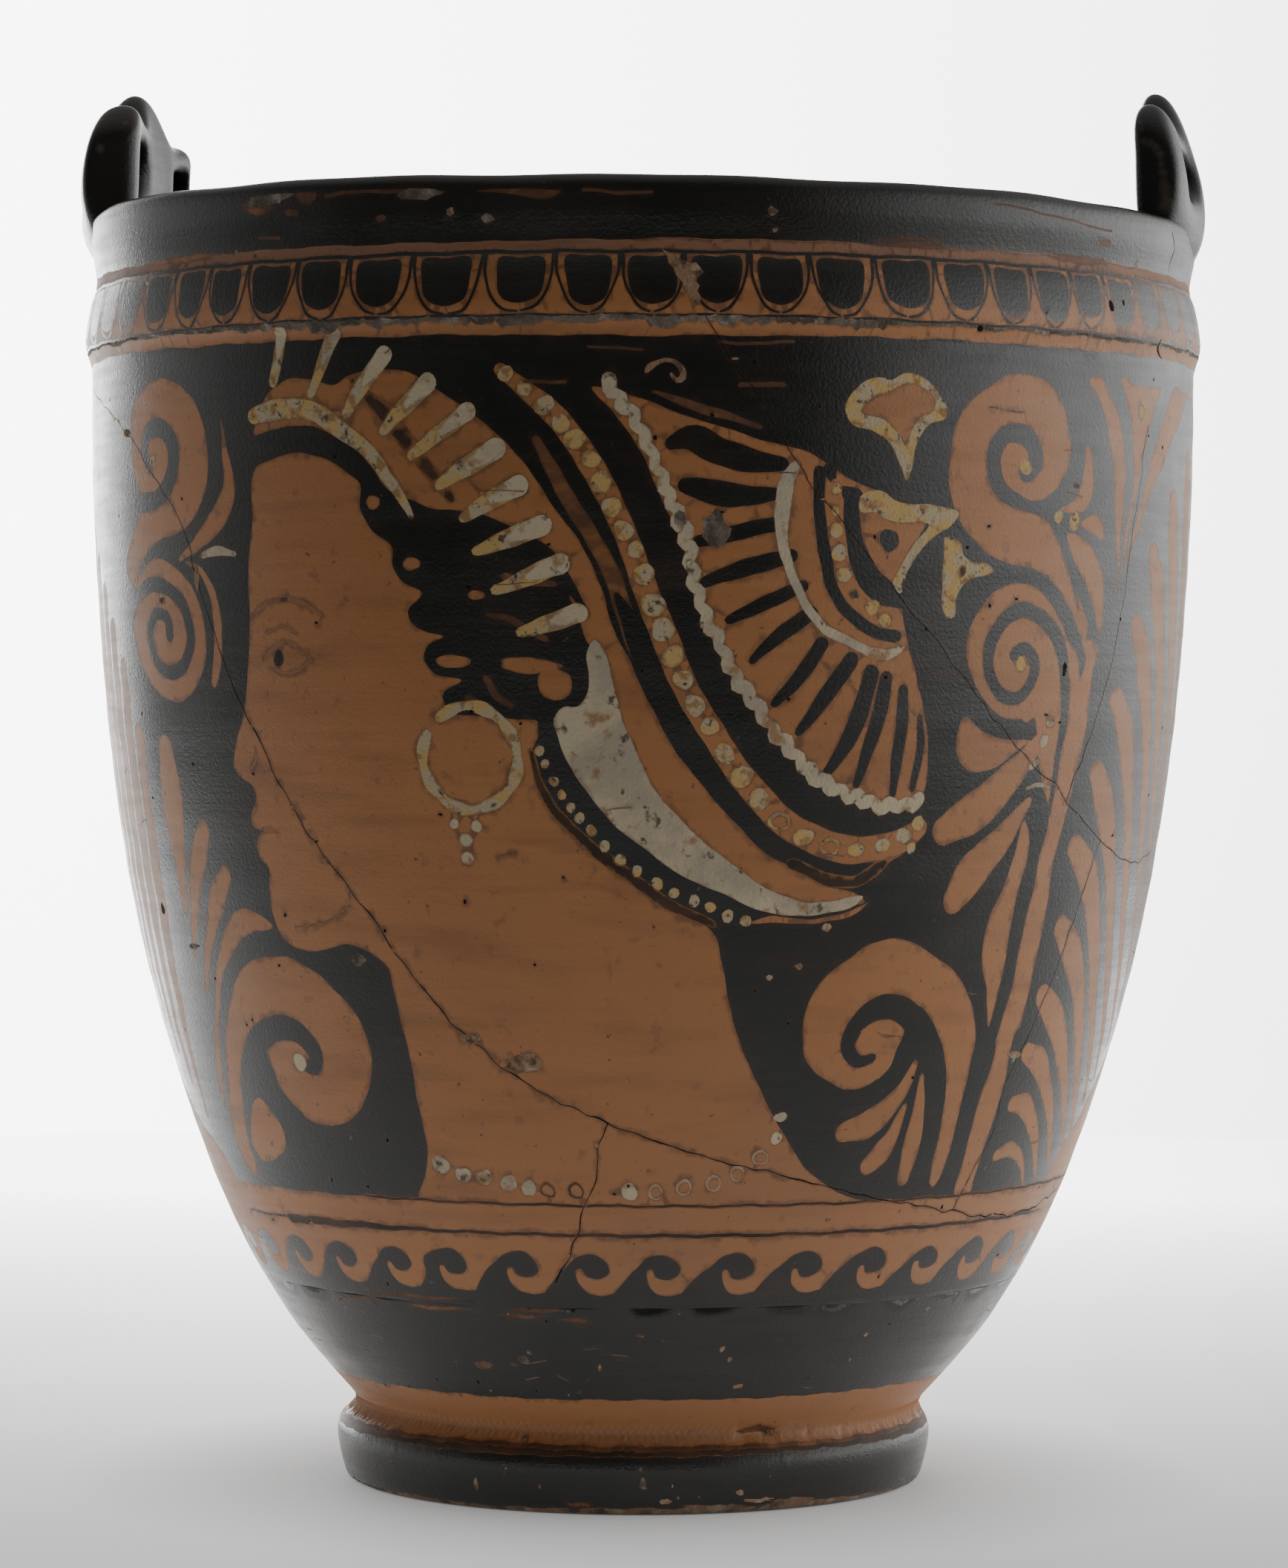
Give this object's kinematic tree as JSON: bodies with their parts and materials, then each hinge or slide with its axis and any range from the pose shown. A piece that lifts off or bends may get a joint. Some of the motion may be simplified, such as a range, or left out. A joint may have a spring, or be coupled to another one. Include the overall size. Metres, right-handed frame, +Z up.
{
  "type": "situla",
  "caption": "Footed bucket-shaped wine vessel of painted fired clay, with a moulded rim and double-loop lugs for a bail.",
  "frame": {"origin": "centre of the foot's resting ring, on the surface the vessel stands on", "axes": "+Z up, along the vessel's axis; the lugs stand on +X and -X, and the painted head faces -Y"},
  "size_m": [0.2316, 0.2284, 0.2831],
  "materials": {
    "painted_clay": "black gloss slip with the figures reserved in orange-brown clay and added white and yellow"
  },
  "bodies": {
    "root": {"situla": "painted_clay"}
  },
  "joints": []
}
